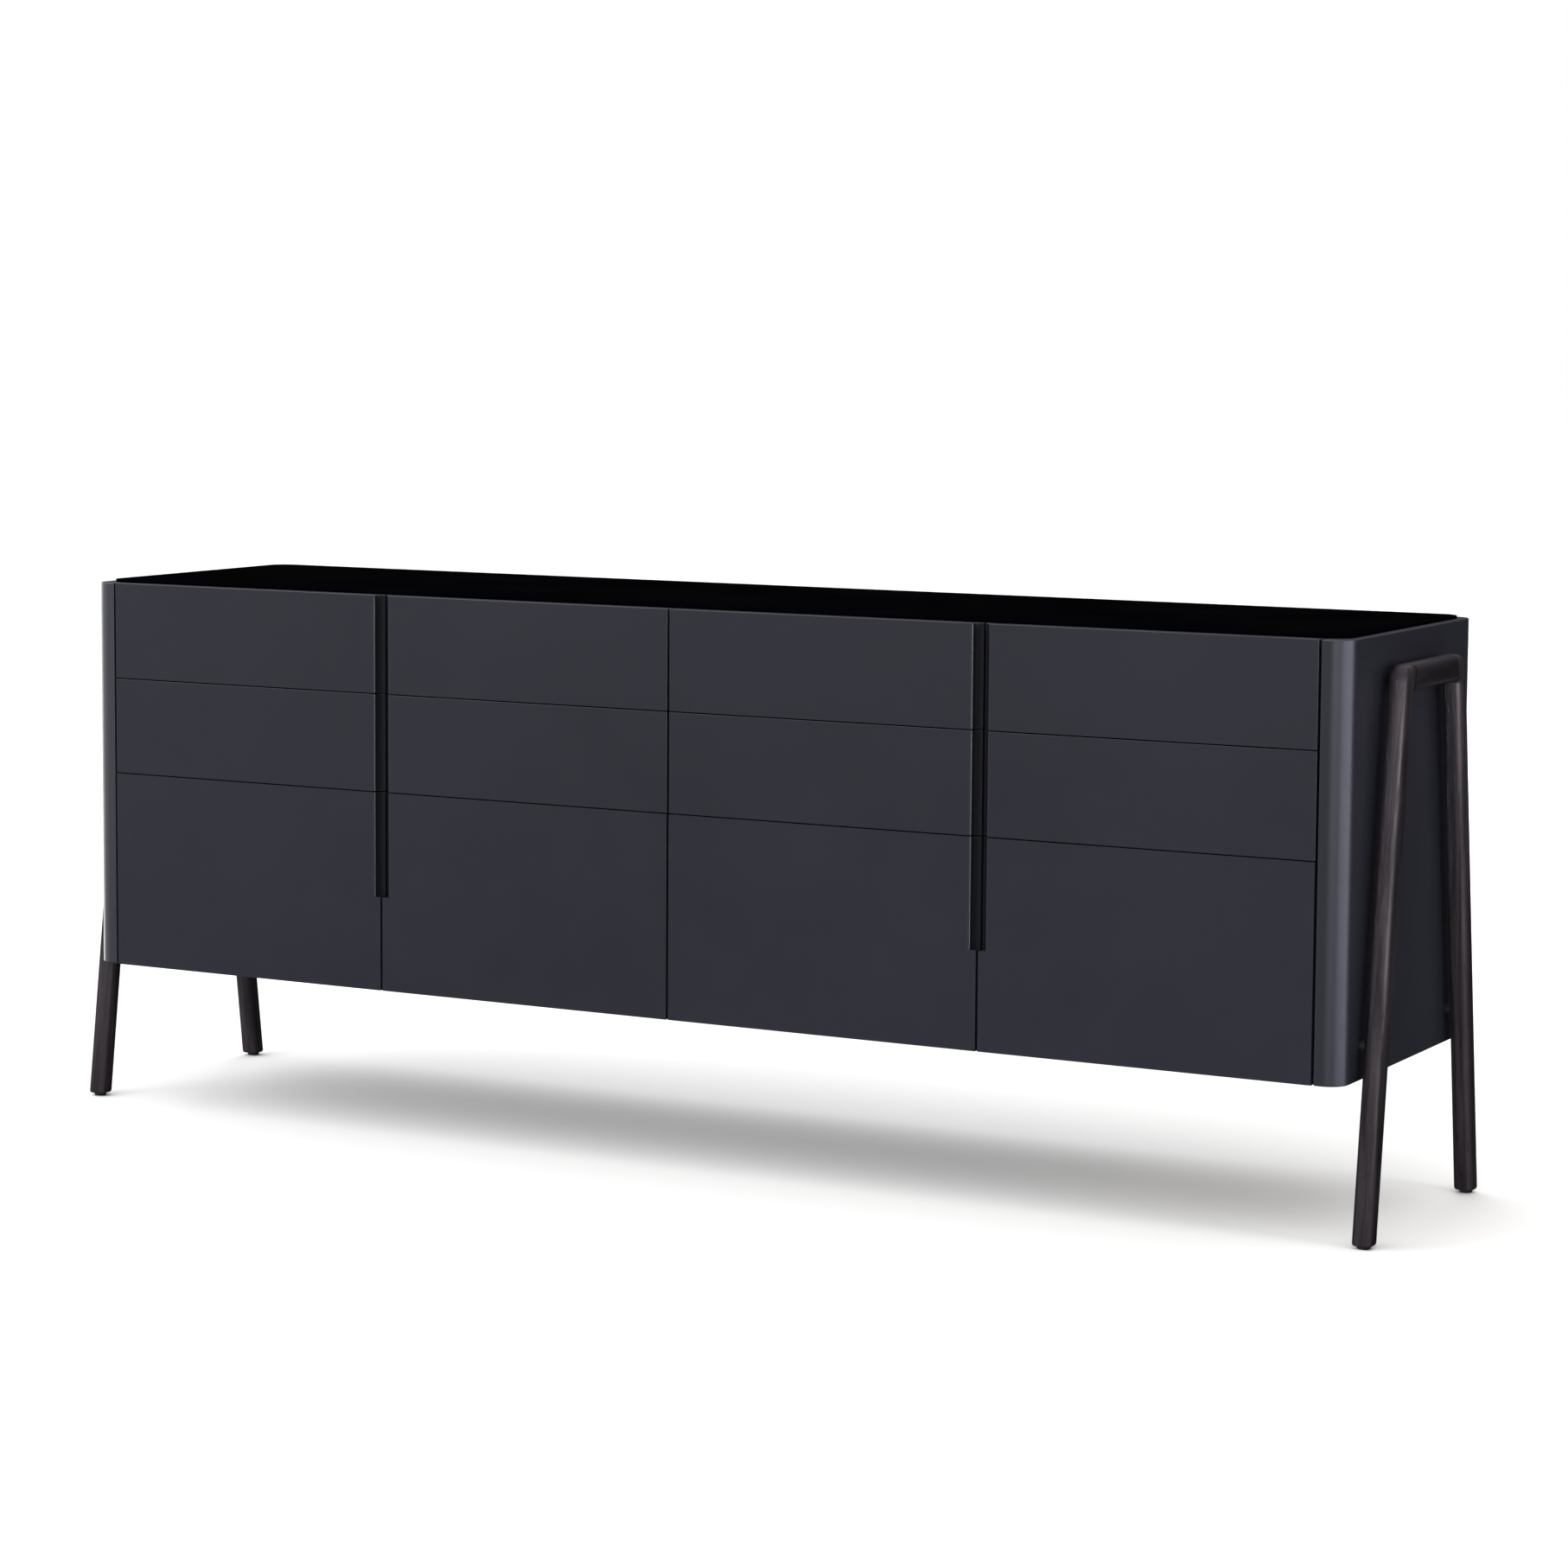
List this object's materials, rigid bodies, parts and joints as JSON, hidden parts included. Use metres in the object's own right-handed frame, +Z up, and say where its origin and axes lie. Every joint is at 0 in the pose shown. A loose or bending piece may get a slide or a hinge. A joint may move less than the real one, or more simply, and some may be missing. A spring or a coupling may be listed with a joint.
{
  "type": "dresser with drawers",
  "caption": "Long low lacquered dresser with flush drawer fronts, shared finger grooves, a thin black top and open A-shaped wooden leg frames outside its ends.",
  "frame": {"origin": "at floor level under the middle of the body, midway between front and back", "axes": "+X along the front to the right, +Y from the front to the back, +Z up"},
  "size_m": [2.072, 0.48, 0.794],
  "materials": {
    "lacquer": "satin anthracite lacquer on board",
    "carcass_board": "satin anthracite laminate",
    "top_glass": "matt black etched, opaque",
    "leg_wood": "dark stained open-grain wood, satin oil",
    "drawer_board": "matt greige ash laminate",
    "steel": "zinc plated",
    "plastic": "matt black"
  },
  "bodies": {
    "carcass": {"bottom_panel": "carcass_board", "deck": "carcass_board", "back_panel": "carcass_board", "top_sheet": "top_glass", "glides": "plastic", "washers": "plastic", "frame_bolts": "steel", "upright_1": "carcass_board", "upright_2": "carcass_board", "upright_3": "carcass_board", "upright_4": "carcass_board", "upright_5": "carcass_board", "end_shell_left": "lacquer", "end_shell_right": "lacquer", "cross_rail_left": "leg_wood", "cross_rail_right": "leg_wood", "leg_front_left": "leg_wood", "leg_rear_left": "leg_wood", "leg_front_right": "leg_wood", "leg_rear_right": "leg_wood", "cabinet_runners_1": "steel", "cabinet_runners_2": "steel", "cabinet_runners_3": "steel", "cabinet_runners_4": "steel"},
    "drawer_deep_1": {"front_deep_1": "lacquer", "box_deep_1": "drawer_board", "drawer_runners_deep_1": "steel"},
    "drawer_middle_1": {"front_middle_1": "lacquer", "box_middle_1": "drawer_board", "drawer_runners_middle_1": "steel"},
    "drawer_top_1": {"front_top_1": "lacquer", "box_top_1": "drawer_board", "drawer_runners_top_1": "steel"},
    "drawer_deep_2": {"front_deep_2": "lacquer", "box_deep_2": "drawer_board", "drawer_runners_deep_2": "steel"},
    "drawer_middle_2": {"front_middle_2": "lacquer", "box_middle_2": "drawer_board", "drawer_runners_middle_2": "steel"},
    "drawer_top_2": {"front_top_2": "lacquer", "box_top_2": "drawer_board", "drawer_runners_top_2": "steel"},
    "drawer_deep_3": {"front_deep_3": "lacquer", "box_deep_3": "drawer_board", "drawer_runners_deep_3": "steel"},
    "drawer_middle_3": {"front_middle_3": "lacquer", "box_middle_3": "drawer_board", "drawer_runners_middle_3": "steel"},
    "drawer_top_3": {"front_top_3": "lacquer", "box_top_3": "drawer_board", "drawer_runners_top_3": "steel"},
    "drawer_deep_4": {"front_deep_4": "lacquer", "box_deep_4": "drawer_board", "drawer_runners_deep_4": "steel"},
    "drawer_middle_4": {"front_middle_4": "lacquer", "box_middle_4": "drawer_board", "drawer_runners_middle_4": "steel"},
    "drawer_top_4": {"front_top_4": "lacquer", "box_top_4": "drawer_board", "drawer_runners_top_4": "steel"}
  },
  "joints": [
    {"name": "slide_deep_1", "type": "slide", "parent": "carcass", "child": "drawer_deep_1", "axis": [0, -1, 0], "range_m": [0, 0.3]},
    {"name": "slide_middle_1", "type": "slide", "parent": "carcass", "child": "drawer_middle_1", "axis": [0, -1, 0], "range_m": [0, 0.3]},
    {"name": "slide_top_1", "type": "slide", "parent": "carcass", "child": "drawer_top_1", "axis": [0, -1, 0], "range_m": [0, 0.3]},
    {"name": "slide_deep_2", "type": "slide", "parent": "carcass", "child": "drawer_deep_2", "axis": [0, -1, 0], "range_m": [0, 0.3]},
    {"name": "slide_middle_2", "type": "slide", "parent": "carcass", "child": "drawer_middle_2", "axis": [0, -1, 0], "range_m": [0, 0.3]},
    {"name": "slide_top_2", "type": "slide", "parent": "carcass", "child": "drawer_top_2", "axis": [0, -1, 0], "range_m": [0, 0.3]},
    {"name": "slide_deep_3", "type": "slide", "parent": "carcass", "child": "drawer_deep_3", "axis": [0, -1, 0], "range_m": [0, 0.3]},
    {"name": "slide_middle_3", "type": "slide", "parent": "carcass", "child": "drawer_middle_3", "axis": [0, -1, 0], "range_m": [0, 0.3]},
    {"name": "slide_top_3", "type": "slide", "parent": "carcass", "child": "drawer_top_3", "axis": [0, -1, 0], "range_m": [0, 0.3]},
    {"name": "slide_deep_4", "type": "slide", "parent": "carcass", "child": "drawer_deep_4", "axis": [0, -1, 0], "range_m": [0, 0.3]},
    {"name": "slide_middle_4", "type": "slide", "parent": "carcass", "child": "drawer_middle_4", "axis": [0, -1, 0], "range_m": [0, 0.3]},
    {"name": "slide_top_4", "type": "slide", "parent": "carcass", "child": "drawer_top_4", "axis": [0, -1, 0], "range_m": [0, 0.3]}
  ]
}
